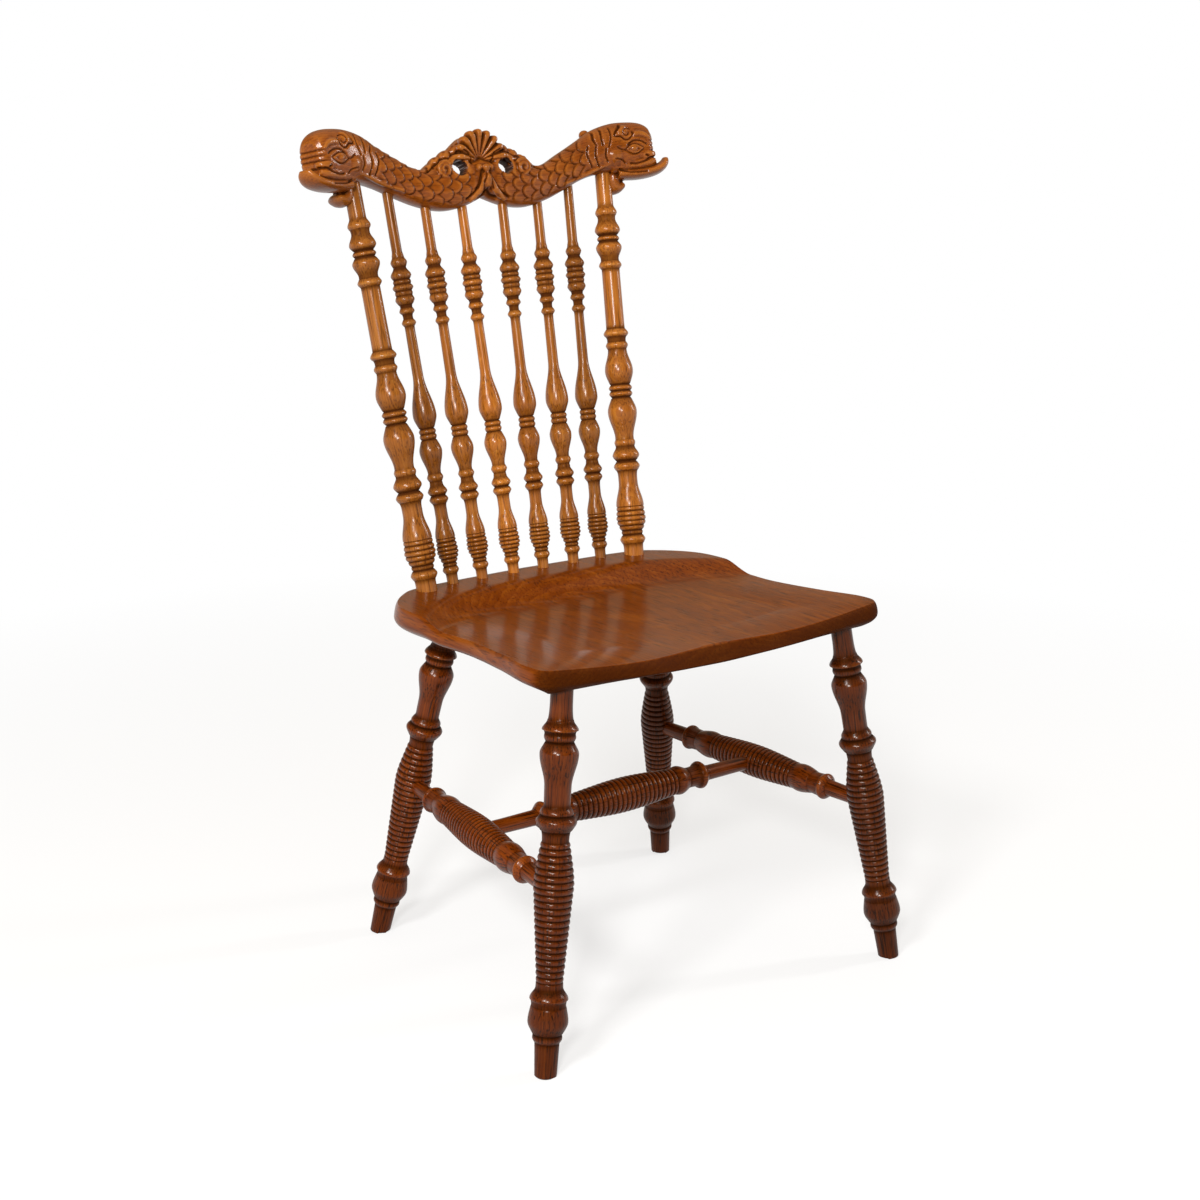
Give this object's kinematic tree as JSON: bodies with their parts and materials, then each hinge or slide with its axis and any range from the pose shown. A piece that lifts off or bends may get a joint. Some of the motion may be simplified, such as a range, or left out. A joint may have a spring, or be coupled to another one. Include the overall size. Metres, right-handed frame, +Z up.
{
  "type": "spindle back side chair",
  "caption": "Wooden side chair with a saddle seat, splayed ring-turned legs, an H stretcher, a back of turned posts and spindles, and a carved crest rail.",
  "frame": {"origin": "on the floor, under the middle of the chair's bounding box", "axes": "+Z up, the sitter faces -Y, +X to the right as seen from the front"},
  "size_m": [0.5524, 0.5798, 1.0124],
  "materials": {
    "golden_oak": "golden oak under a glossy clear coat",
    "carved_oak": "carved red-brown oak under a glossy clear coat, dark stain in the cuts",
    "seat_oak": "polished brown oak with a high gloss",
    "dark_oak": "dark red-brown oak under a glossy clear coat, dark stain between the rings"
  },
  "bodies": {
    "root": {"seat": "seat_oak", "leg_front_left": "dark_oak", "leg_front_right": "dark_oak", "leg_rear_left": "dark_oak", "leg_rear_right": "dark_oak", "stretcher_left": "dark_oak", "stretcher_right": "dark_oak", "stretcher_cross": "dark_oak", "post_left": "golden_oak", "post_right": "golden_oak", "spindle_left_1": "golden_oak", "spindle_left_2": "golden_oak", "spindle_left_3": "golden_oak", "spindle_right_1": "golden_oak", "spindle_right_2": "golden_oak", "spindle_right_3": "golden_oak", "crest_rail": "carved_oak"}
  },
  "joints": []
}
